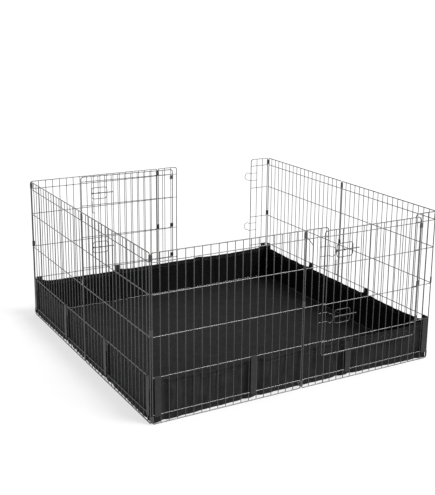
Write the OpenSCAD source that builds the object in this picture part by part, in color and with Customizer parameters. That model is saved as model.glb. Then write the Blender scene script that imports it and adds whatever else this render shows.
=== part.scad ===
// Folding wire pet playpen: eight hinged panels, two doors with slide bolts, and a cloth floor liner.
// Origin: middle of the floor. +X right along the front, +Y to the back, +Z up. Millimetres.

/* [Pen] */
// Panel pitch, from joint to joint, half of one side
pitch = 610; // [550:670]
// Height of a panel over its wires
pen_h = 610; // [550:670]
// Spacings between upright wires in one panel
cells = 19; // [15:23]

/* [Wire] */
// Radius of the frame wire round each panel
frame_r = 1.9; // [1.5:0.1:2.5]
// Radius of the cross wires
cross_r = 1.6; // [1.2:0.1:2]
// Radius of the upright wires
upright_r = 1.4; // [1:0.1:1.8]
// Bend radius at a panel's outer corners
corner_bend = 6; // [5:8]
// Bend radius at the doorway's top corners and the door's corners
door_bend = 12; // [8:16]

/* [Hinges] */
// Distance between the two edge wires of a joint
joint_gap = 7; // [7:0.1:8]
// Height of a hinge clip
clip_h = 21.5; // [16:22]
// Wall of a hinge clip
clip_wall = 1.1; // [0.8:0.1:1.4]
// Running clearance round a turning wire
run_gap = 0.3; // [0.3:0.05:0.5]

/* [Doors] */
// Spacings in the fixed strip on each side of a doorway
strip_cells = 3; // [2:4]
// How far a door laps over each strip
door_lap = 18; // [14:20]
// Distance of a door's plane outside its panel
door_out = 6.9; // [6.7:0.1:8]
// Height of the sill's top wire
sill_z = 112; // [90:114]
// Height of a door's bottom wire
door_z0 = 117; // [116.5:0.5:125]
// Height of a door's top wire
door_z1 = 597; // [592:600]
// Angle at which the back door stands open
back_open = 177; // [176:178]

/* [Bolts] */
// Height of the upper and lower bolt
bolt_z = [520, 265]; // [240:530]
// Radius of a bolt's rod
bolt_r = 2; // [1.8:0.1:2.2]
// Length of a bolt's rod
bolt_len = 105; // [95:110]
// Distance of a bolt's rod outside the door's wires
rod_out = 10.5; // [10:0.5:12]
// Width of a bolt's loop handle
loop_w = 72; // [66:74]
// Height of a bolt's loop handle
loop_h = 52; // [46:56]

/* [Liner] */
// Gap between a panel's plane and the liner's outer face
liner_inset = 13; // [12.5:0.5:16]
// Height of the liner's walls
wall_h = 150; // [140:155]
// Thickness of the liner's padded cloth
cloth_t = 3; // [2:0.5:4]
// Depth of the binding on the wall's top edge
bind_h = 18; // [14:22]
// Width of a strap
strap_w = 23; // [20:23]
// Thickness of a strap
strap_t = 1.5; // [1.2:0.1:1.6]

/* [Hidden] */
$fn = 48;
touch = 0.05;        // gap between neighbours that bear on each other
proud = 0.1;         // how far a knuckle stands out of the wires that it joins
weld = 0.1;          // depth to which crossed wires are welded into each other
half = pitch;
corner_off = joint_gap / sqrt(2);
mid_off = joint_gap / 2;
panel_w = pitch - corner_off - mid_off;
step = panel_w / cells;
cross_z = [34, 170, 316, 464, 575];
low_z = frame_r;
top_z = pen_h - frame_r;
upright_y = cross_r + upright_r - weld;
strip_w = strip_cells * step;
door_x0 = strip_w - door_lap;
door_x1 = panel_w - strip_w + door_lap;
latch_x = (strip_cells + 1) * step;
guide_x = (strip_cells + 2) * step;
rod_y = -door_out - rod_out;
rod_back = 24.5;     // distance of a drawn-back rod's tip from the strip's edge
rod_x = strip_w + rod_back;
loop_r = 1.5;
loop_x = rod_x + bolt_r + loop_r;
loop_bend = 12;
keep_r = 1.25;
keep_y = -frame_r - keep_r - touch;
keep_x = strip_w + 4;
keep_bar_y = rod_y - bolt_r - keep_r - run_gap;
keep_half = 18;      // half the height of a keeper's loop
eye_r = 1;
foot_y = upright_y - door_out - upright_r - touch;
hook_y = -door_out - cross_r - keep_r - touch;
hook_rise = 20;      // height of the safety hook's top over its cross wire
hook_long = 50;
hook_bend = 8;
hook_turn = 130;
link_r = 1.3;
link_y = -frame_r - run_gap - clip_wall - link_r - touch;
link_slope = 5;      // fall of the middle joint's link across the joint
clip_z = [9.5, 319, 578.75];
clip_slot = 1.8;     // gap between a clip's two flat cheeks
tongue_set = 1.6;    // an open clip's tongue leaves its ring this many walls inside the rim
tongue_past = 3;
door_clip_z = [174, 320, 552];
door_clip_h = 18;
tab_x = 12.4;        // a door hinge's tab turns in to the strip this far past the door's edge wire
tab_w = 2.8;
liner_out = half - liner_inset;
liner_in = liner_out - cloth_t;
tape_t = 1;
sewn_gap = 0.2;      // gap left between the liner's cloth pieces
side_long = liner_in - tape_t - sewn_gap;
strap_in = liner_inset - 2.7;
strap_out = cross_r + run_gap + strap_t / 2;
strap_over = cross_r + 0.4 + strap_t / 2;
strap_gap = 6.6;     // distance of the corner strap from its panel's edge
strap_foot = 7;      // depth of a strap's fold below the low cross wire
strap_return = 33;   // length of a strap's end, folded up inside the panel
strap_grip = 26;     // length of a strap on the liner's inner face
gate_cell = 6;       // cell that the strap away from the corner sits in
black = [0.05, 0.05, 0.055];
steel = [0.09, 0.09, 0.1];
cloth = [0.06, 0.06, 0.065];
web = [0.1, 0.1, 0.105];

function unit(v) = v / norm(v);

// ---- wire work ----
module rod(a, b, r) {
  v = b - a;
  l = norm(v);
  translate(a) rotate([0, acos(v[2] / l), atan2(v[1], v[0])]) cylinder(r = r, h = l);
}

// a run of straight wires; each knuckle stands proud of them and its poles lie inside them
module bent(points, r) {
  for (i = [0 : len(points) - 2]) rod(points[i], points[i + 1], r);
  if (len(points) > 2) for (i = [1 : len(points) - 2]) {
    v = unit(points[i] - points[i - 1]) + unit(points[i + 1] - points[i]);
    translate(points[i]) rotate([0, acos(v[2] / norm(v)), atan2(v[1], v[0])]) sphere(r = r + proud);
  }
}

// quarter bend in the XZ plane, round c, starting at angle a
module quarter(c, bend, a, r) {
  translate(c) rotate([90, 0, 0]) rotate([0, 0, a])
    rotate_extrude(angle = 90) translate([bend, 0]) circle(r = r);
}

// closed frame of wire in the XZ plane; bends are bottom right, top right, top left, bottom left
module wire_frame(x0, x1, z0, z1, b, r) {
  rod([x1, 0, z0 + b[0]], [x1, 0, z1 - b[1]], r);
  rod([x0, 0, z0 + b[3]], [x0, 0, z1 - b[2]], r);
  rod([x0 + b[2], 0, z1], [x1 - b[1], 0, z1], r);
  rod([x0 + b[3], 0, z0], [x1 - b[0], 0, z0], r);
  quarter([x1 - b[1], 0, z1 - b[1]], b[1], 0, r);
  quarter([x0 + b[2], 0, z1 - b[2]], b[2], 90, r);
  quarter([x0 + b[3], 0, z0 + b[3]], b[3], 180, r);
  quarter([x1 - b[0], 0, z0 + b[0]], b[0], 270, r);
}

module uprights(first, last, z0, z1) {
  for (i = [first : last]) rod([i * step, upright_y, z0], [i * step, upright_y, z1], upright_r);
}

module crossings(x0, x1, heights) {
  for (z = heights) rod([x0, 0, z], [x1, 0, z], cross_r);
}

module plain_panel() color(black) union() {
  wire_frame(0, panel_w, low_z, top_z, [corner_bend, corner_bend, corner_bend, corner_bend], frame_r);
  uprights(1, cells - 1, low_z, top_z);
  crossings(0, panel_w, cross_z);
}

// the fixed strip beside a doorway, with its rounded top corner on the doorway's side
module gate_strip() color(black) union() {
  wire_frame(0, strip_w, low_z, top_z, [corner_bend, door_bend, corner_bend, corner_bend], frame_r);
  uprights(1, strip_cells - 1, low_z, top_z);
  crossings(0, strip_w, cross_z);
}

module latch_strip() gate_strip();
module hinge_strip() translate([panel_w, 0, 0]) mirror([1, 0, 0]) gate_strip();

module gate_sill() color(black) union() {
  x0 = strip_w + frame_r + touch;
  x1 = panel_w - strip_w - frame_r - touch;
  rod([x0, 0, low_z], [x1, 0, low_z], frame_r);
  crossings(x0, x1, [cross_z[0], sill_z]);
  uprights(strip_cells + 1, cells - strip_cells - 1, low_z, sill_z);
}

// ---- doors, drawn closed in the panel's own frame ----
module door_grille() color(black) translate([0, -door_out, 0]) union() {
  wire_frame(door_x0, door_x1, door_z0, door_z1, [door_bend, door_bend, door_bend, door_bend], frame_r);
  uprights(strip_cells + 1, cells - strip_cells - 1, door_z0, door_z1);
  crossings(door_x0, door_x1, [for (z = cross_z) if (z > door_z0) z]);
}

// rod with a loop handle, drawn retracted
module bolt(z) color(steel) union() {
  rod([rod_x, rod_y, z], [rod_x + bolt_len, rod_y, z], bolt_r);
  translate([0, rod_y, 0])
    wire_frame(loop_x, loop_x + loop_w, z - loop_h / 2, z + loop_h / 2,
               [loop_bend, loop_bend, loop_bend, loop_bend], loop_r);
}

// two eyes round the rod, each on a stem from one of the door's upright wires
module guides(z) color(black) for (x = [latch_x, guide_x]) union() {
  ring = bolt_r + run_gap + eye_r;
  translate([x, rod_y, z]) rotate([0, 90, 0]) rotate_extrude() translate([ring, 0]) circle(r = eye_r);
  rod([x, rod_y + ring + eye_r / 5, z], [x, foot_y, z], eye_r);
}

// wire loop on the latch strip that reaches out through the door, round at its end, for the bolt
module keeper(z) color(black) union() {
  x0 = (strip_cells - 1) * step;
  y0 = upright_y - upright_r - touch;
  for (h = [z - keep_half, z + keep_half])
    bent([[x0, y0, h], [x0, keep_y, h], [keep_x, keep_y, h], [keep_x, keep_bar_y, h]], keep_r);
  for (a = [270, 0]) quarter([keep_x, keep_bar_y, z], keep_half, a, keep_r);
  for (h = [z - keep_half, z + keep_half]) translate([keep_x, keep_bar_y, h]) sphere(r = keep_r + proud);
}

// sleeve round the door's edge wire with a tab back to the strip
module door_hinge(z) color(black) difference() {
  r1 = frame_r + run_gap + clip_wall;
  union() {
    translate([door_x1, -door_out, z]) cylinder(r = r1, h = door_clip_h);
    translate([door_x1, -door_out + r1 - clip_wall, z]) cube([tab_x + tab_w, clip_wall, door_clip_h]);
    translate([door_x1 + tab_x, -door_out + r1 - clip_wall, z])
      cube([tab_w, door_out - r1 + clip_wall + upright_y - upright_r - touch, door_clip_h]);
  }
  translate([door_x1, -door_out, z - 1]) cylinder(r = frame_r + run_gap, h = door_clip_h + 2);
}

// hook on the door's cross wire under the upper bolt, open to the right at its foot
module safety_hook() color(black) union() {
  top = cross_z[3] + hook_rise;
  low = top - hook_long;
  rod([latch_x, hook_y, low], [latch_x, hook_y, top], keep_r);
  translate([latch_x + hook_bend, hook_y, low]) rotate([90, 0, 0]) rotate([0, 0, 180])
    rotate_extrude(angle = hook_turn) translate([hook_bend, 0]) circle(r = keep_r);
}

// ---- hinge clips: a is the wire that holds the clip, b the wire that turns in it ----
module clip(a, b, z) color(steel) {
  d = b - a;
  l = norm(d);
  held_r = frame_r + touch;
  turn_r = frame_r + run_gap;
  wide = 2 * (turn_r + clip_wall);
  translate([a[0], a[1], z]) rotate([0, 0, atan2(d[1], d[0])]) difference() {
    union() {
      for (x = [0, l]) translate([x, 0, 0]) cylinder(d = wide, h = clip_h);
      translate([0, -wide / 2, 0]) cube([l, wide, clip_h]);
    }
    translate([0, 0, -1]) cylinder(r = held_r, h = clip_h + 2);
    translate([l, 0, -1]) cylinder(r = turn_r, h = clip_h + 2);
    translate([0, -clip_slot / 2, -1]) cube([l, clip_slot, clip_h + 2]);
  }
}

// clip of the joint that is left unhooked: a ring on wire a with a tongue past wire b
module open_clip(a, b, z) color(steel) {
  d = b - a;
  ring = frame_r + run_gap + clip_wall;
  translate([a[0], a[1], z]) rotate([0, 0, atan2(d[1], d[0])]) linear_extrude(clip_h) difference() {
    union() {
      circle(r = ring);
      rotate(-45) translate([0, ring - tongue_set * clip_wall])
        square([norm(d) + tongue_past, clip_wall]);
    }
    circle(r = frame_r + touch);
  }
}

module clips(a, b) for (z = clip_z) clip(a, b, z);

// ---- liner ----
module wall(long) color(cloth) translate([-long, -liner_out, 0]) cube([2 * long, cloth_t, wall_h]);

// tape folded over a wall's top edge
module binding(long) color(web) difference() {
  translate([-long, -liner_out - tape_t, wall_h - bind_h])
    cube([2 * long, cloth_t + 2 * tape_t, bind_h + tape_t + sewn_gap]);
  translate([-long - 1, -liner_out - touch, wall_h - bind_h - 1])
    cube([2 * long + 2, cloth_t + 2 * touch, bind_h + 1 + touch]);
}

// direction square to a path at its point i, and long enough to keep both edges of a ribbon parallel to it
function square_to(p, i) =
  let (n = len(p) - 1)
  let (before = unit(p[max(i, 1)] - p[max(i, 1) - 1]))
  let (after = unit(p[min(i, n - 1) + 1] - p[min(i, n - 1)]))
  let (middle = unit([-before[1] - after[1], before[0] + after[0]]))
  middle / (middle * [-before[1], before[0]]);

module ribbon(path, wide) {
  a = [for (i = [0 : len(path) - 1]) path[i] + square_to(path, i) * strap_t / 2];
  b = [for (i = [len(path) - 1 : -1 : 0]) path[i] - square_to(path, i) * strap_t / 2];
  translate([-wide / 2, 0, 0]) rotate([90, 0, 90]) linear_extrude(wide) polygon(concat(a, b));
}

// strap whose left edge is at x; over_z is the wire that it hangs on, and it ends folded up inside the panel
module strap(x, over_z) color(web) translate([x + strap_w / 2, 0, 0]) {
  top = over_z + strap_over;
  low = cross_z[0] - strap_foot;
  tail = over_z > wall_h ? [[strap_in, wall_h - strap_grip], [strap_in, wall_h]]
                         : [[strap_in, wall_h - 4], [strap_in, top + 8]];
  loop = [[strap_out, top], [-strap_out, top], [-strap_out, low], [strap_out, low],
          [strap_out, low + strap_return]];
  ribbon(concat(tail, loop), strap_w);
}

// straps of a plain panel: one beside its corner and one in the cell gate_cell from its other end
module straps_from_corner() {
  strap(strap_gap, cross_z[1]);
  strap(panel_w - (gate_cell + 0.5) * step - strap_w / 2, cross_z[1]);
}
module straps_to_corner() translate([panel_w, 0, 0]) mirror([1, 0, 0]) straps_from_corner();

// ---- places: panels run round the pen from the front left, each from x = 0 to panel_w in its own frame ----
module on_side(a, x) rotate([0, 0, a]) translate([x, -half, 0]) children();
module on_front_left() on_side(0, -half + corner_off) children();
module on_front_right() on_side(0, mid_off) children();
module on_right_front() on_side(90, -half + corner_off) children();
module on_right_back() on_side(90, mid_off) children();
module on_back_right() on_side(180, -half + corner_off) children();
module on_back_left() on_side(180, mid_off) children();
module on_left_back() on_side(270, -half + corner_off) children();
module on_left_front() on_side(270, mid_off) children();

// turns a door and its bolts about the door's edge wire, in the panel's own frame
module swung(a) translate([door_x1, -door_out, 0]) rotate([0, 0, a])
  translate([-door_x1, door_out, 0]) children();
module on_back_door() on_back_right() swung(back_open) children();

// ---- nodes ----
module panel_front_left() on_front_left() plain_panel();
module front_gate_latch_strip() on_front_right() latch_strip();
module front_gate_hinge_strip() on_front_right() hinge_strip();
module front_gate_sill() on_front_right() gate_sill();
module panel_right_front() on_right_front() plain_panel();
module panel_right_back() on_right_back() plain_panel();
module back_gate_latch_strip() on_back_right() latch_strip();
module back_gate_hinge_strip() on_back_right() hinge_strip();
module back_gate_sill() on_back_right() gate_sill();
module panel_back_left() on_back_left() plain_panel();
module panel_left_back() on_left_back() plain_panel();
module panel_left_front() on_left_front() plain_panel();

module front_door() on_front_right() door_grille();
module back_door() on_back_door() door_grille();
module front_bolt_upper() on_front_right() bolt(bolt_z[0]);
module front_bolt_lower() on_front_right() bolt(bolt_z[1]);
module back_bolt_upper() on_back_door() bolt(bolt_z[0]);
module back_bolt_lower() on_back_door() bolt(bolt_z[1]);
module front_guides_upper() on_front_right() guides(bolt_z[0]);
module front_guides_lower() on_front_right() guides(bolt_z[1]);
module back_guides_upper() on_back_door() guides(bolt_z[0]);
module back_guides_lower() on_back_door() guides(bolt_z[1]);
module front_keepers() on_front_right() for (z = bolt_z) keeper(z);
module back_keepers() on_back_right() for (z = bolt_z) keeper(z);
module front_door_hinges() on_front_right() for (z = door_clip_z) door_hinge(z);
module back_door_hinges() on_back_right() for (z = door_clip_z) door_hinge(z);
module front_safety_hook() on_front_right() safety_hook();
module back_safety_hook() on_back_door() safety_hook();

// short link across the front middle joint at the low cross wire, with its end turned down
module front_mid_link() on_front_right() color(steel)
  bent([[6, link_y, cross_z[0]], [-22, link_y, cross_z[0] - link_slope],
        [-17, link_y, cross_z[0] - 14]], link_r);

// straight hook from the same joint's top clip down to the next upright wire
module front_mid_hook() on_front_right() color(steel)
  rod([0, link_y, clip_z[2] + 3], [step - 4, link_y, cross_z[4] - 26], link_r);

module clips_front_mid() clips([-mid_off, -half], [mid_off, -half]);
module clips_front_right_corner() clips([half - corner_off, -half], [half, -half + corner_off]);
module clips_right_mid() clips([half, -mid_off], [half, mid_off]);
module clips_back_right_corner() clips([half, half - corner_off], [half - corner_off, half]);
module clips_back_mid() clips([mid_off, half], [-mid_off, half]);
module clips_back_left_corner() for (z = clip_z)
  open_clip([-half, half - corner_off], [-half + corner_off, half], z);
module clips_left_mid() clips([-half, -mid_off], [-half, mid_off]);
module clips_front_left_corner() clips([-half + corner_off, -half], [-half, -half + corner_off]);

module liner_floor() color(cloth) linear_extrude(cloth_t) square(2 * liner_in - sewn_gap, center = true);
module liner_wall_front() wall(liner_out);
module liner_wall_right() rotate([0, 0, 90]) wall(side_long);
module liner_wall_back() rotate([0, 0, 180]) wall(liner_out);
module liner_wall_left() rotate([0, 0, 270]) wall(side_long);
module binding_front() binding(liner_out);
module binding_right() rotate([0, 0, 90]) binding(side_long);
module binding_back() rotate([0, 0, 180]) binding(liner_out);
module binding_left() rotate([0, 0, 270]) binding(side_long);

module straps_front_left() on_front_left() straps_from_corner();
module straps_front_right() on_front_right() {
  strap(panel_w - strap_gap - strap_w, cross_z[1]);
  strap((gate_cell + 0.5) * step - strap_w / 2, sill_z);
}
module straps_right_front() on_right_front() straps_from_corner();
module straps_right_back() on_right_back() straps_to_corner();
module straps_back_right() on_back_right() {
  strap(strap_gap, cross_z[1]);
  strap(panel_w - (gate_cell + 0.5) * step - strap_w / 2, sill_z);
}
module straps_back_left() on_back_left() straps_to_corner();
module straps_left_back() on_left_back() straps_from_corner();
module straps_left_front() on_left_front() straps_to_corner();

panel_front_left();
front_gate_latch_strip();
front_gate_hinge_strip();
front_gate_sill();
panel_right_front();
panel_right_back();
back_gate_latch_strip();
back_gate_hinge_strip();
back_gate_sill();
panel_back_left();
panel_left_back();
panel_left_front();
front_door();
back_door();
front_bolt_upper();
front_bolt_lower();
back_bolt_upper();
back_bolt_lower();
front_guides_upper();
front_guides_lower();
back_guides_upper();
back_guides_lower();
front_keepers();
back_keepers();
front_door_hinges();
back_door_hinges();
front_safety_hook();
back_safety_hook();
front_mid_link();
front_mid_hook();
clips_front_mid();
clips_front_right_corner();
clips_right_mid();
clips_back_right_corner();
clips_back_mid();
clips_back_left_corner();
clips_left_mid();
clips_front_left_corner();
liner_floor();
liner_wall_front();
liner_wall_right();
liner_wall_back();
liner_wall_left();
binding_front();
binding_right();
binding_back();
binding_left();
straps_front_left();
straps_front_right();
straps_right_front();
straps_right_back();
straps_back_right();
straps_back_left();
straps_left_back();
straps_left_front();
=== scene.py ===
"""Folding wire pet playpen: materials for the wire work, and the sewn cloth liner with its straps."""
import math

import bpy
from mathutils import Matrix, Vector, noise


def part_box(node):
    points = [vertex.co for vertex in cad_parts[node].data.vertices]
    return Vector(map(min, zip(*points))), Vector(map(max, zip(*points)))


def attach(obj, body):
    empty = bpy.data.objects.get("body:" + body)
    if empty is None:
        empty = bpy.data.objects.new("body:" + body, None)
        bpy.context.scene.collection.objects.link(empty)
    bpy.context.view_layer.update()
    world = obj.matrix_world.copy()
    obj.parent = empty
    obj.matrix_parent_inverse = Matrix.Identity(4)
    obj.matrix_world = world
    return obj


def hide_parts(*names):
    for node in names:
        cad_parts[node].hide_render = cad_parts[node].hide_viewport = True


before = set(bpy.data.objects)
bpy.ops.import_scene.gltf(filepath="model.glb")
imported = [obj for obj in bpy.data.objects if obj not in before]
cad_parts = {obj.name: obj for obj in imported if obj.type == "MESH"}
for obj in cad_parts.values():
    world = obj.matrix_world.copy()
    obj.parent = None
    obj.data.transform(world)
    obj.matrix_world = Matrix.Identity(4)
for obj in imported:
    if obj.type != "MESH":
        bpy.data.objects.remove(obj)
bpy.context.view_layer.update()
bpy.ops.object.select_all(action="DESELECT")

# ---- sizes, in metres, read from the frame where it has them ----
MM = 0.001
WALL_LOW, WALL_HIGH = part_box("liner_wall_front")
WALL_OUT = -WALL_LOW.y + 3 * MM             # a wall's outer face, from the middle of the pen
WALL_H = WALL_HIGH.z
FRAME_R = 1.9 * MM                          # radii of the frame, cross and upright wires
CROSS_R = 1.6 * MM
UPRIGHT_R = 1.4 * MM
UPRIGHT_OFF = 2.9 * MM                      # from the panels' plane in to the middle of the uprights
PLANE = -(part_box("panel_front_left")[0].y + FRAME_R)    # the panels' plane
PANEL_W = 601.55 * MM                       # one panel, between the middles of its edge wires
CELL = PANEL_W / 19                         # spacing of the upright wires
CORNER_OFF = 7 * MM / math.sqrt(2)          # from a corner of the pen to a panel's edge wire
FIRST_UPRIGHT = PLANE - PANEL_W - CORNER_OFF + CELL
LOW_WIRE = 34 * MM                          # heights of the wires that the straps hang on
HIGH_WIRE = 170 * MM
SILL_WIRE = 112 * MM
UPRIGHT_IN = PLANE - UPRIGHT_OFF - UPRIGHT_R            # inner face of the upright wires
CLOTH_LIMIT = UPRIGHT_IN - 1.4 * MM         # the cloth stays inside this
CORNER = CLOTH_LIMIT - 1.0 * MM             # where two walls meet
CLOTH_T = 1.8 * MM
GRID = 4 * MM                               # spacing of the points along a wall
STRAP_W = 23 * MM
STRAP_T = 1.2 * MM
STRAP_OFF = 0.4 * MM + STRAP_T / 2          # from what a strap lies on to its own middle
STRAP_LOW, STRAP_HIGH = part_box("straps_front_right")
MIDDLE_STRAP = STRAP_LOW.x + STRAP_W / 2    # how far from a side's middle its straps hang
CORNER_STRAP = STRAP_HIGH.x - STRAP_W / 2
STRAP_PLACES = (-CORNER_STRAP, -MIDDLE_STRAP, MIDDLE_STRAP, CORNER_STRAP)

SIDES = ("front", "right", "back", "left")
# for each side: how much nearer its wall stands to the wires, how far the wall bellies out between them,
# how far its foot rolls in, and how far the foot stands in from the wires at mid-side
STAND = {"front": 0.0, "right": 1.5 * MM, "back": 0.5 * MM, "left": 3 * MM}
SWELL = {"front": 3.2 * MM, "right": 2.4 * MM, "back": 1.5 * MM, "left": 3 * MM}
ROLL = {"front": 3 * MM, "right": 1 * MM, "back": 1 * MM, "left": 0.0}
FOOT_INSET = {"front": 10 * MM, "right": 4 * MM, "back": 5 * MM, "left": 1.5 * MM}
TUCK = 22 * MM                              # height over which a foot rolls in to its seam
# (side, -1 or +1 for the half of the side) to the CAD node and the body of its straps
STRAPS = {
    ("front", -1): ("straps_front_left", "base"),
    ("front", 1): ("straps_front_right", "base"),
    ("right", -1): ("straps_right_front", "right_front"),
    ("right", 1): ("straps_right_back", "right_back"),
    ("back", -1): ("straps_back_right", "back"),
    ("back", 1): ("straps_back_left", "back"),
    ("left", -1): ("straps_left_back", "left_back"),
    ("left", 1): ("straps_left_front", "left_front"),
}
ON_SILL = (("front", 1), ("back", -1))      # where the middle strap hangs on a door sill


# ---- camera and light ----
def look_from(place, azimuth, elevation, roll):
    """A camera at place. Azimuth turns it from +Y towards -X, and elevation down, in degrees."""
    a, e = math.radians(azimuth), math.radians(elevation)
    along = Vector((-math.sin(a) * math.cos(e), math.cos(a) * math.cos(e), -math.sin(e)))
    data = bpy.data.cameras.new("camera")
    camera = bpy.data.objects.new("camera", data)
    bpy.context.scene.collection.objects.link(camera)
    aim = along.to_track_quat("-Z", "Y").to_matrix().to_4x4()
    tilt = Matrix.Rotation(math.radians(roll), 4, "Z")
    camera.matrix_world = Matrix.Translation(place) @ aim @ tilt
    bpy.context.scene.camera = camera
    return data


def key_light(azimuth, elevation, strength, spread):
    """A broad, distant light that comes from azimuth and elevation, in degrees, with soft shadows."""
    a, e = math.radians(azimuth), math.radians(elevation)
    data = bpy.data.lights.new("key", "SUN")
    data.energy = strength
    data.angle = math.radians(spread)
    lamp = bpy.data.objects.new("key", data)
    bpy.context.scene.collection.objects.link(lamp)
    towards = Vector((math.sin(a) * math.cos(e), -math.cos(a) * math.cos(e), math.sin(e)))
    lamp.rotation_euler = towards.to_track_quat("Z", "Y").to_euler()


def soft_sky(low, high, left):
    """A white studio dome: low is its brightness at the floor's edge, high that overhead, and left the share
    of it that is kept on -X."""
    world = bpy.data.worlds.new("studio")
    bpy.context.scene.world = world
    world.use_nodes = True
    tree = world.node_tree
    parts = add(tree, "SeparateXYZ", {"Vector": add(tree, "TexCoord").outputs["Generated"]})
    power = add(tree, "MapRange", {"Value": parts.outputs["Z"], "To Min": low, "To Max": high})
    share = add(tree, "MapRange", {"Value": parts.outputs["X"], "From Min": -1.0,
                                   "To Min": left, "To Max": 2 - left})
    both = add(tree, "Math", {0: power.outputs["Result"], 1: share.outputs["Result"]},
               operation="MULTIPLY")
    tree.nodes["Background"].inputs["Color"].default_value = (1, 1, 1, 1)
    tree.links.new(both.outputs[0], tree.nodes["Background"].inputs["Strength"])


def set_up_studio():
    lens = look_from(place=(-1.819, -3.213, 1.470), azimuth=-30.18, elevation=14.34, roll=0.74)
    lens.lens = 67.2
    lens.sensor_width = 36
    lens.shift_x = -0.0293
    lens.shift_y = -0.0657
    bpy.context.scene.view_settings.view_transform = "Standard"
    soft_sky(low=0.34, high=1.12, left=0.45)
    key_light(azimuth=42, elevation=48, strength=4.0, spread=28)


# ---- materials ----
WAVE = math.pi / 10                         # a wave texture of scale 1 repeats at this distance


def linear(code):
    """An sRGB hex colour as linear red, green, blue and alpha."""
    parts = [int(code[i:i + 2], 16) / 255 for i in (1, 3, 5)]
    return tuple(c / 12.92 if c <= 0.04045 else ((c + 0.055) / 1.055) ** 2.4 for c in parts) + (1.0,)


def add(tree, kind, inputs=None, **settings):
    """Adds a shader node with its settings, and sets or links its inputs."""
    node = tree.nodes.new("ShaderNode" + kind)
    for name, value in settings.items():
        setattr(node, name, value)
    for key, value in (inputs or {}).items():
        if isinstance(value, bpy.types.NodeSocket):
            tree.links.new(value, node.inputs[key])
        else:
            node.inputs[key].default_value = value
    return node


def new_material(name, **fixed):
    """A material with its shader's plain sockets set; returns it, its tree and the shader."""
    made = bpy.data.materials.new(name)
    made.use_nodes = True
    tree = made.node_tree
    shader = tree.nodes["Principled BSDF"]
    for socket, value in fixed.items():
        shader.inputs[socket.replace("_", " ")].default_value = value
    return made, tree, shader


def mottle(tree, shader, place, size, low, high, detail=4.0):
    """Colour that drifts between two tones in patches of about size metres."""
    patches = add(tree, "TexNoise", {"Vector": place, "Scale": 1 / size, "Detail": detail,
                                     "Roughness": 0.6})
    tones = add(tree, "MapRange", {"Value": patches.outputs["Fac"], "From Min": 0.35, "From Max": 0.65})
    mixed = add(tree, "Mix", {0: tones.outputs["Result"], 6: linear(low), 7: linear(high)},
                data_type="RGBA")
    tree.links.new(mixed.outputs[2], shader.inputs["Base Color"])
    return patches


def powder_coat(name, low, high, rough):
    """Baked powder coat over drawn steel wire: satin black with a faint orange peel."""
    made, tree, shader = new_material(name, IOR=1.5, Coat_Weight=0.8, Coat_Roughness=0.12)
    place = add(tree, "TexCoord").outputs["Object"]
    patches = mottle(tree, shader, place, 12 * MM, low, high)
    dull = add(tree, "MapRange", {"Value": patches.outputs["Fac"],
                                  "To Min": rough - 0.06, "To Max": rough + 0.08})
    tree.links.new(dull.outputs["Result"], shader.inputs["Roughness"])
    peel = add(tree, "TexNoise", {"Vector": place, "Scale": 1 / (0.9 * MM), "Detail": 2.0})
    bump = add(tree, "Bump", {"Height": peel.outputs["Fac"], "Strength": 0.25, "Distance": 0.05 * MM})
    tree.links.new(bump.outputs["Normal"], shader.inputs["Normal"])
    return made


def worn_coat(name):
    """Powder coat rubbed through to bright steel in small patches, as on a bolt that slides."""
    made, tree, shader = new_material(name, IOR=1.5)
    place = add(tree, "TexCoord").outputs["Object"]
    rub = add(tree, "TexNoise", {"Vector": place, "Scale": 1 / (7 * MM), "Detail": 6.0,
                                 "Roughness": 0.7})
    bare = add(tree, "MapRange", {"Value": rub.outputs["Fac"], "From Min": 0.6, "From Max": 0.68})
    mixed = add(tree, "Mix", {0: bare.outputs["Result"], 6: linear("#19191b"), 7: linear("#8d8f92")},
                data_type="RGBA")
    tree.links.new(mixed.outputs[2], shader.inputs["Base Color"])
    tree.links.new(bare.outputs["Result"], shader.inputs["Metallic"])
    dull = add(tree, "MapRange", {"Value": rub.outputs["Fac"], "To Min": 0.28, "To Max": 0.42})
    tree.links.new(dull.outputs["Result"], shader.inputs["Roughness"])
    return made


def weave_height(tree, place, across, along):
    """Height of a plain weave: ribs across both ways, with these thread spacings in metres."""
    warp = add(tree, "TexWave", {"Vector": place, "Scale": WAVE / across}, bands_direction="X")
    weft = add(tree, "TexWave", {"Vector": place, "Scale": WAVE / along}, bands_direction="Y")
    return add(tree, "Math", {0: warp.outputs["Fac"], 1: weft.outputs["Fac"]}, operation="MULTIPLY")


def shade_hollows(tree, shader, height, least):
    """Painted shade in the hollows: darkens the shader's colour where height is low, down to the share least
    of it.
    """
    colour = shader.inputs["Base Color"].links[0].from_socket
    share = add(tree, "MapRange", {"Value": height, "To Min": least, "To Max": 1.25})
    shaded = add(tree, "VectorMath", {0: colour, "Scale": share.outputs["Result"]}, operation="SCALE")
    tree.links.new(shaded.outputs["Vector"], shader.inputs["Base Color"])


def oxford_cloth(name, low, high, rough, sheen, thread=2.4 * MM):
    """Woven polyester Oxford: dull, with a slight bloom of light on its fibres. Such threads are about
    0.5 mm apart; they are drawn coarser so that the weave shows."""
    made, tree, shader = new_material(name, Roughness=rough, IOR=1.46, Specular_IOR_Level=0.12,
                                      Sheen_Weight=sheen, Sheen_Roughness=0.5)
    flat = add(tree, "UVMap").outputs["UV"]
    patches = mottle(tree, shader, flat, 60 * MM, low, high, detail=8.0)
    weave = weave_height(tree, flat, thread, thread)
    # painted shade in the hollows of the weave
    shade_hollows(tree, shader, weave.outputs[0], 0.55)
    soft = add(tree, "Bump", {"Height": patches.outputs["Fac"], "Strength": 0.5, "Distance": 1.2 * MM})
    threads = add(tree, "Bump", {"Height": weave.outputs[0], "Strength": 0.9, "Distance": 0.35 * MM,
                                 "Normal": soft.outputs["Normal"]})
    tree.links.new(threads.outputs["Normal"], shader.inputs["Normal"])
    return made


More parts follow.
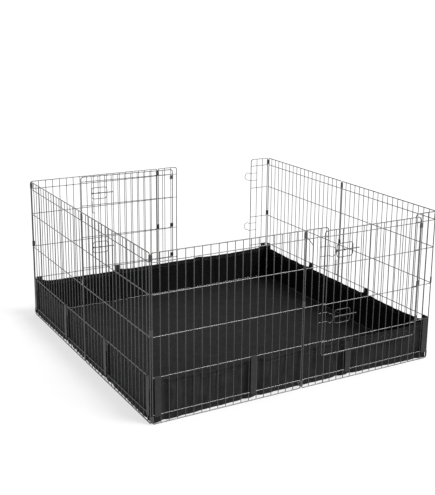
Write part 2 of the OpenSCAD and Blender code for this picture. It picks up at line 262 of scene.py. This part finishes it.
def ribbed_tape(name, low, high, rib, rough, shine):
    """Woven polypropylene tape: ribs along its length, a little brighter than the cloth."""
    made, tree, shader = new_material(name, Roughness=rough, IOR=1.48, Specular_IOR_Level=shine,
                                      Sheen_Weight=0.05, Sheen_Roughness=0.4)
    flat = add(tree, "UVMap").outputs["UV"]
    mottle(tree, shader, flat, 25 * MM, low, high)
    ribs = weave_height(tree, flat, rib, rib * 1.6)
    # painted shade in the hollows between the ribs
    shade_hollows(tree, shader, ribs.outputs[0], 0.6)
    bump = add(tree, "Bump", {"Height": ribs.outputs[0], "Strength": 0.8, "Distance": 0.3 * MM})
    tree.links.new(bump.outputs["Normal"], shader.inputs["Normal"])
    return made


def vinyl_piping():
    """Extruded vinyl over a cord: smooth, and glossy where the light catches its round top."""
    made, tree, shader = new_material("vinyl_piping", IOR=1.53, Coat_Weight=0.4, Coat_Roughness=0.15)
    place = add(tree, "TexCoord").outputs["Object"]
    patches = mottle(tree, shader, place, 20 * MM, "#161617", "#222224")
    dull = add(tree, "MapRange", {"Value": patches.outputs["Fac"], "To Min": 0.22, "To Max": 0.4})
    tree.links.new(dull.outputs["Result"], shader.inputs["Roughness"])
    return made


def sewing_thread():
    """Bonded polyester thread: fine, slightly glossy, a shade lighter than the tape."""
    made, tree, shader = new_material("bonded_thread", Roughness=0.45, IOR=1.5)
    mottle(tree, shader, add(tree, "TexCoord").outputs["Object"], 5 * MM, "#3c3c40", "#4c4c50")
    return made


def studio_floor():
    """White acrylic light table: matt on top, and lit faintly from below."""
    made, tree, shader = new_material("light_table_acrylic", Roughness=0.9, IOR=1.49,
                                      Emission_Strength=0.65, Emission_Color=(1, 1, 1, 1))
    place = add(tree, "TexCoord").outputs["Object"]
    mottle(tree, shader, place, 0.8, "#7f7f7f", "#838383", detail=1.0)
    return made


# ---- mesh helpers ----
def turned(side, s, out, z):
    """A point in the pen from its place along a side, its distance from the middle, and its height."""
    return Matrix.Rotation(math.pi / 2 * SIDES.index(side), 3, "Z") @ Vector((s, -out, z))


def sheet_mesh(name, rows, flat, thick, materials, offset=-1.0):
    """A grid of points as cloth, thick deep: flat holds each point's place on the cut cloth. Offset -1 puts
    the thickness behind the points, and 0 puts the points in its middle."""
    wide = len(rows[0])
    points = [p for row in rows for p in row]
    quads = [(r * wide + c, r * wide + c + 1, (r + 1) * wide + c + 1, (r + 1) * wide + c)
             for r in range(len(rows) - 1) for c in range(wide - 1)]
    mesh = bpy.data.meshes.new(name)
    mesh.from_pydata(points, [], quads)
    uv = mesh.uv_layers.new(name="UVMap")
    places = [p for row in flat for p in row]
    for loop in mesh.loops:
        uv.data[loop.index].uv = places[loop.vertex_index]
    piece = bpy.data.objects.new(name, mesh)
    bpy.context.scene.collection.objects.link(piece)
    for one in materials:
        mesh.materials.append(one)
    solid = piece.modifiers.new("thickness", "SOLIDIFY")
    solid.thickness = thick
    solid.offset = offset
    solid.material_offset = len(materials) - 1
    apply_all(piece)
    return piece


def apply_all(piece):
    """Applies the piece's modifiers and shades it smooth."""
    bpy.ops.object.select_all(action="DESELECT")
    bpy.context.view_layer.objects.active = piece
    piece.select_set(True)
    for modifier in list(piece.modifiers):
        bpy.ops.object.modifier_apply(modifier=modifier.name)
    bpy.ops.object.shade_smooth_by_angle(angle=math.radians(50))
    piece.select_set(False)


def tube(name, points, radius, material, sides=8):
    """A round cord along points, closed at both ends."""
    count = len(points)
    verts, faces = [], []
    for i, point in enumerate(points):
        along = (points[min(i + 1, count - 1)] - points[max(i - 1, 0)]).normalized()
        across = along.cross(Vector((0, 0, 1)))
        if across.length < 0.3:
            across = along.cross(Vector((1, 0.3, 0)))
        across.normalize()
        other = along.cross(across)
        for k in range(sides):
            a = 2 * math.pi * k / sides
            verts.append(point + (across * math.cos(a) + other * math.sin(a)) * radius)
    for i in range(count - 1):
        for k in range(sides):
            m = (k + 1) % sides
            faces.append((i * sides + k, (i + 1) * sides + k, (i + 1) * sides + m, i * sides + m))
    faces.append(tuple(range(sides)))
    faces.append(tuple((count - 1) * sides + k for k in range(sides))[::-1])
    mesh = bpy.data.meshes.new(name)
    mesh.from_pydata(verts, [], faces)
    mesh.materials.append(material)
    piece = bpy.data.objects.new(name, mesh)
    bpy.context.scene.collection.objects.link(piece)
    bpy.context.view_layer.objects.active = piece
    piece.select_set(True)
    bpy.ops.object.mode_set(mode="EDIT")
    bpy.ops.mesh.select_all(action="SELECT")
    bpy.ops.mesh.normals_make_consistent(inside=False)
    bpy.ops.object.mode_set(mode="OBJECT")
    apply_all(piece)
    return piece


def stitch_row(name, places, material):
    """Stitches as small pointed beads: places holds (middle, along, out) for each one."""
    long, thick = 1.7 * MM, 0.45 * MM
    verts, faces = [], []
    for middle, along, out in places:
        side = along.cross(out).normalized()
        first = len(verts)
        verts += [middle - along * long, middle + side * thick, middle + out * thick,
                  middle - side * thick, middle - out * thick, middle + along * long]
        for k in range(4):
            a, b = first + 1 + k, first + 1 + (k + 1) % 4
            faces += [(first, b, a), (first + 5, a, b)]
    mesh = bpy.data.meshes.new(name)
    mesh.from_pydata(verts, [], faces)
    mesh.materials.append(material)
    piece = bpy.data.objects.new(name, mesh)
    bpy.context.scene.collection.objects.link(piece)
    return piece


# ---- the liner's shape ----
def by_corner(s):
    """Whether a strap is one of those by the pen's corners."""
    return abs(s) > (MIDDLE_STRAP + CORNER_STRAP) / 2


def near_strap(s, width):
    """1 at the middle of a strap, falling to 0 over width."""
    return max(math.exp(-((s - at) / width) ** 2) for at in STRAP_PLACES)


def beside_strap(s):
    """1 in the hollows that a strap's pull leaves on either side of it."""
    return max(math.exp(-((abs(s - at) - 30 * MM) / (11 * MM)) ** 2) for at in STRAP_PLACES)


def smooth(value, low, high):
    """0 below low, 1 above high, and an even rise between them."""
    t = max(0.0, min((value - low) / (high - low), 1.0))
    return t * t * (3 - 2 * t)


def to_corner(s, reach):
    """1 at a wall's ends, falling away from them over reach."""
    return math.exp(-(CORNER - abs(s)) / reach)


def wall_top(side, s):
    """Height of a wall's top edge: held up at the straps and corners, and sagging between."""
    sag, lift, peak, uneven = 3.5 * MM, 4.5 * MM, 9 * MM, 2.5 * MM
    drift = noise.noise(Vector((s * 9, SIDES.index(side) * 5.0, 2.0)))
    held = lift * near_strap(s, 40 * MM) + peak * to_corner(s, 45 * MM)
    return WALL_H - sag + held + uneven * drift


def wall_out(side, s, z):
    """Distance of a wall's outer face from the middle of the pen."""
    share = min(z / WALL_H, 1.0)
    n = SIDES.index(side)
    folds = noise.noise(Vector((s * 26, n * 7.3, z * 2.5))) * 5.5 * MM
    folds += noise.noise(Vector((s * 75, n * 3.1, z * 6.0))) * 2.2 * MM
    folds += noise.noise(Vector((s * 170, n * 5.7, z * 14.0))) * 0.7 * MM
    folds *= 0.5 + 0.5 * share
    drift = 1 + 0.5 * noise.noise(Vector((s * 6, n * 2.9, 8.0)))
    foot = FOOT_INSET[side] * drift * smooth(CORNER - abs(s), 50 * MM, 380 * MM) * (1 - share) ** 1.6
    tuck = ROLL[side] * max(0.0, 1 - z / TUCK) ** 2
    flare = 6.5 * MM * to_corner(s, 50 * MM)
    pull = 4.5 * MM * near_strap(s, 17 * MM) * share ** 0.5 - 6 * MM * beside_strap(s)
    lean = CORNER - abs(s) - 0.2 * z
    pull += 4 * MM * math.exp(-((lean - 62 * MM) / (9 * MM)) ** 2) * share
    fade = 1 - to_corner(s, 12 * MM)
    out = WALL_OUT + STAND[side] + 1.5 * MM * share + flare + (folds + pull - foot) * fade - tuck
    return min(out, CLOTH_LIMIT) + swell(side, s, share)


def swell(side, s, share):
    """How far a wall bellies out between the upright wires that it is pulled against."""
    phase = (abs(s) - FIRST_UPRIGHT) / CELL
    hollow = math.sin(math.pi * phase) ** 2
    low = smooth(share, 0.12, 0.4) if ROLL[side] else 1.0
    level = low * (1 - smooth(share, 0.8, 1.0)) * smooth(CORNER - abs(s), 20 * MM, 60 * MM)
    drift = 0.6 + 0.4 * noise.noise(Vector((s * 14, SIDES.index(side) * 4.1, 3.0)))
    return SWELL[side] * hollow * level * drift * (1 - near_strap(s, 20 * MM))


def stations(step):
    """Places along a wall from one corner to the other."""
    count = round(2 * CORNER / step)
    return [-CORNER + 2 * CORNER * i / count for i in range(count + 1)]


def wall(side, cloth, inner_shaded_cloth):
    """One wall of the liner, standing on the floor and folded by the straps' pull."""
    rows, flat = [], []
    low, levels = 1.0 * MM, 26
    along = stations(GRID)
    for k in range(levels + 1):
        share = k / levels
        heights = [low + (wall_top(side, s) - low) * share for s in along]
        rows.append([turned(side, s, wall_out(side, s, z), z) for s, z in zip(along, heights)])
        flat.append([(s, z) for s, z in zip(along, heights)])
    # the inner face takes the second, darker cloth: painted shade
    piece = sheet_mesh("wall_" + side, rows, flat, CLOTH_T, (cloth, inner_shaded_cloth))
    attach(piece, "base")
    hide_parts("liner_wall_" + side)
    return piece


def binding(side, tape):
    """Tape folded over a wall's top edge."""
    depth, gap = 17 * MM, 0.5 * MM
    rows, flat = [], []
    levels = (0.0, 0.25, 0.5, 0.75, 0.95)
    along = stations(GRID)
    arcs = (30, 60, 90, 120, 150)
    middle_r = CLOTH_T / 2 + gap
    stages = [(1, v) for v in levels] + [(0, a) for a in arcs] + [(-1, v) for v in levels[::-1]]
    for outside, share in stages:
        row, spread = [], []
        for s in along:
            top = wall_top(side, s)
            if outside:
                z = top - depth * (1 - share)
                face = wall_out(side, s, z)
                out = face + gap if outside > 0 else face - CLOTH_T - gap
            else:
                face = wall_out(side, s, top)
                angle = math.radians(share)
                out = face - CLOTH_T / 2 + middle_r * math.cos(angle)
                z = top + middle_r * math.sin(angle) * 0.8
            row.append(turned(side, s, out, z))
            spread.append((s, len(rows) * depth / len(levels)))
        rows.append(row)
        flat.append(spread)
    piece = sheet_mesh("edge_tape_" + side, rows, flat, 0.8 * MM, (tape,), offset=0.0)
    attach(piece, "base")
    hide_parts("binding_" + side)
    return piece


def tape_stitches(side, thread):
    """Two rows of stitches that hold the tape, one on each face of the wall."""
    places = []
    pitch, up, gap = 5 * MM, 14 * MM, 1.1 * MM
    for s in stations(pitch)[1:-1]:
        z = wall_top(side, s) - up
        face = wall_out(side, s, z)
        ahead = turned(side, s + pitch / 2, wall_out(side, s + pitch / 2, z), z)
        behind = turned(side, s - pitch / 2, wall_out(side, s - pitch / 2, z), z)
        along = (ahead - behind).normalized()
        out = along.cross(Vector((0, 0, 1)))
        places.append((turned(side, s, face + gap, z), along, out))
        places.append((turned(side, s, face - CLOTH_T - gap, z), along, -out))
    piece = stitch_row("tape_stitches_" + side, places, thread)
    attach(piece, "base")
    return piece


def floor_height(x, y):
    """Height of the floor cloth's top: near flat, with low soft waves and two straight creases each way."""
    folds, fold_w = (-0.2, 0.2), 12 * MM
    wave = noise.noise(Vector((x * 3.1, y * 3.7, 1.0))) * 1.1
    wave += noise.noise(Vector((x * 9, y * 8, 5.0))) * 0.5
    crease = sum(math.exp(-((v - at) / fold_w) ** 2) for v in (x, y) for at in folds) * 0.9
    return (1.9 + max(wave, -0.6) + crease) * MM


def floor_cloth(cloth):
    """The liner's floor, sewn to the walls' feet."""
    count = 150
    rows, flat = [], []
    reach = {side: [wall_out(side, s, 2 * MM) - CLOTH_T for s in stations(GRID)] for side in SIDES}
    along = stations(GRID)

    def edge(side, s):
        at = (s + CORNER) / (2 * CORNER) * (len(along) - 1)
        i = max(0, min(int(at), len(along) - 2))
        return reach[side][i] + (reach[side][i + 1] - reach[side][i]) * (at - i)

    for j in range(count + 1):
        v = -1 + 2 * j / count
        row, spread = [], []
        for i in range(count + 1):
            u = -1 + 2 * i / count
            right, left = edge("right", v * CORNER), edge("left", -v * CORNER)
            back, front = edge("back", -u * CORNER), edge("front", u * CORNER)
            x = (right + left) / 2 * u + (right - left) / 2
            y = (back + front) / 2 * v + (back - front) / 2
            row.append(Vector((x, y, floor_height(x, y))))
            spread.append((x, y))
        rows.append(row)
        flat.append(spread)
    piece = sheet_mesh("floor_cloth", rows, flat, 1.2 * MM, (cloth,))
    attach(piece, "base")
    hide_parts("liner_floor")
    return piece


def seam_piping(vinyl):
    """Piping along the seam between the floor and each wall."""
    inset = CLOTH_T + 2.2 * MM
    ends = CORNER - 8 * MM
    for side in SIDES:
        points = [turned(side, s, wall_out(side, s, 4 * MM) - inset, 5 * MM) for s in stations(6 * MM)
                  if abs(s) < ends]
        piece = tube("seam_piping_" + side, points, 1.8 * MM, vinyl)
        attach(piece, "base")


def corner_seam(side, tape):
    """Upright seam where a side's wall meets the next one."""
    points = [turned(side, CORNER - 0.6 * MM, CORNER - 0.6 * MM, z * MM) for z in range(2, 156, 6)]
    piece = tube("corner_seam_" + side, points, 1.9 * MM, tape)
    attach(piece, "base")


def rounded(path, radius, parts=5):
    """The path with its corners turned into arcs of about radius."""
    made = [path[0]]
    for a, b, c in zip(path, path[1:], path[2:]):
        cut = min(radius, (b - a).length / 2.05, (c - b).length / 2.05)
        start, end = b + (a - b).normalized() * cut, b + (c - b).normalized() * cut
        for k in range(parts + 1):
            t = k / parts
            made.append(start * (1 - t) ** 2 + b * 2 * t * (1 - t) + end * t ** 2)
    return made + [path[-1]]


def strap_path(side, s, wire):
    """A strap from the wall, over its wire, down outside the panel, round the low wire and up again."""
    r = CROSS_R + STRAP_OFF
    tail = (WALL_H - 26 * MM, WALL_H - 1 * MM)
    if wire < WALL_H:
        tail = (WALL_H - 4 * MM, wire + r + 8 * MM)
    inside = [Vector((wall_out(side, s, z) + STRAP_OFF, z)) for z in tail]
    foot = LOW_WIRE - r - 4.5 * MM
    bow, turn_up, bend = 0.8 * MM, 33 * MM, 2.6 * MM
    outside = [Vector((PLANE - r, wire + r)), Vector((PLANE + r, wire + r)),
               Vector((PLANE + r + bow, (wire + foot) / 2)), Vector((PLANE + r, foot)),
               Vector((PLANE - r, foot)), Vector((PLANE - r, foot + turn_up))]
    return rounded(inside + outside, bend)


def strap(side, half, s, wire, webbing):
    """One strap of webbing, and its length."""
    path = strap_path(side, s, wire)
    lengths = [0.0]
    for a, b in zip(path, path[1:]):
        lengths.append(lengths[-1] + (b - a).length)
    columns = [-1.0, -0.85, -0.4, 0.0, 0.4, 0.85, 1.0]
    rows = [[turned(side, s + c * STRAP_W / 2, p.x, p.y) for c in columns] for p in path]
    flat = [[(c * STRAP_W / 2, v) for c in columns] for v in lengths]
    node, body = STRAPS[side, half]
    place = "corner" if by_corner(s) else "middle"
    piece = sheet_mesh(f"{node}_{place}", rows, flat, STRAP_T, (webbing,), offset=0.0)
    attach(piece, body)
    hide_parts(node)
    return piece, lengths[-1]


def anchor(side, s, name, tape):
    """Patch of hook-and-loop tape sewn to the wall, that the strap's end grips."""
    wide, low, high = STRAP_W + 3 * MM, WALL_H - 30 * MM, WALL_H - 3 * MM
    columns, levels = 7, 7
    rows, flat = [], []
    for k in range(levels):
        z = low + (high - low) * k / (levels - 1)
        spots = [s - wide / 2 + wide * c / (columns - 1) for c in range(columns)]
        rows.append([turned(side, at, wall_out(side, at, z) + 0.5 * MM, z) for at in spots])
        flat.append([(at, z) for at in spots])
    piece = sheet_mesh(name, rows, flat, 0.8 * MM, (tape,), offset=0.0)
    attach(piece, "base")


# ---- building ----
def dress_wires():
    """Gives every wire, clip and bolt node its finish."""
    wire = powder_coat("powder_coated_wire", "#161617", "#202021", 0.26)
    clip = powder_coat("powder_coated_clip", "#141416", "#1c1c1f", 0.45)
    bolt = worn_coat("worn_powder_coat")
    for name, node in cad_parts.items():
        if "liner" in name or "binding" in name or "straps" in name:
            continue
        finish = wire
        if "bolt" in name:
            finish = bolt
        elif name.startswith(("clips", "front_mid")):
            finish = clip
        node.data.materials.clear()
        node.data.materials.append(finish)


def build_liner():
    """The walls with tape and stitches, the floor with piping, and the straps with their patches."""
    outside = oxford_cloth("oxford_cloth", "#1b1b1c", "#29292a", 0.66, 0.02)
    # the walls' inner faces: a darker copy of the outer cloth, which paints shade on them
    inner_shaded_cloth = oxford_cloth("inner_cloth_painted_shade", "#060607", "#0c0c0d", 0.66, 0.0)
    floor = oxford_cloth("oxford_floor", "#0d0d0e", "#171718", 0.78, 0.02, thread=3.2 * MM)
    tape = ribbed_tape("woven_edge_tape", "#111112", "#19191a", 1.6 * MM, 0.6, 0.15)
    webbing = ribbed_tape("strap_webbing", "#1a1a1b", "#252526", 2.0 * MM, 0.42, 0.3)
    piping = vinyl_piping()
    thread = sewing_thread()
    for side in SIDES:
        standing = wall(side, outside, inner_shaded_cloth)
        edge = binding(side, tape)
        stitches = tape_stitches(side, thread)
    cloth = floor_cloth(floor)
    seam_piping(piping)
    for side in SIDES:
        corner_seam(side, tape)
    for (side, half), (node, _) in STRAPS.items():
        for s in STRAP_PLACES:
            if s * half < 0:
                continue
            on_sill = (side, half) in ON_SILL and not by_corner(s)
            wire = SILL_WIRE if on_sill else HIGH_WIRE
            piece, length = strap(side, half, s, wire, webbing)
            anchor(side, s, piece.name.replace("straps", "anchor"), tape)


def build_floor():
    bpy.ops.mesh.primitive_plane_add(size=300, location=(0, 0, -0.4 * MM))
    ground = bpy.context.object
    ground.name = "ground"
    ground.data.materials.append(studio_floor())


set_up_studio()
dress_wires()
build_liner()
build_floor()
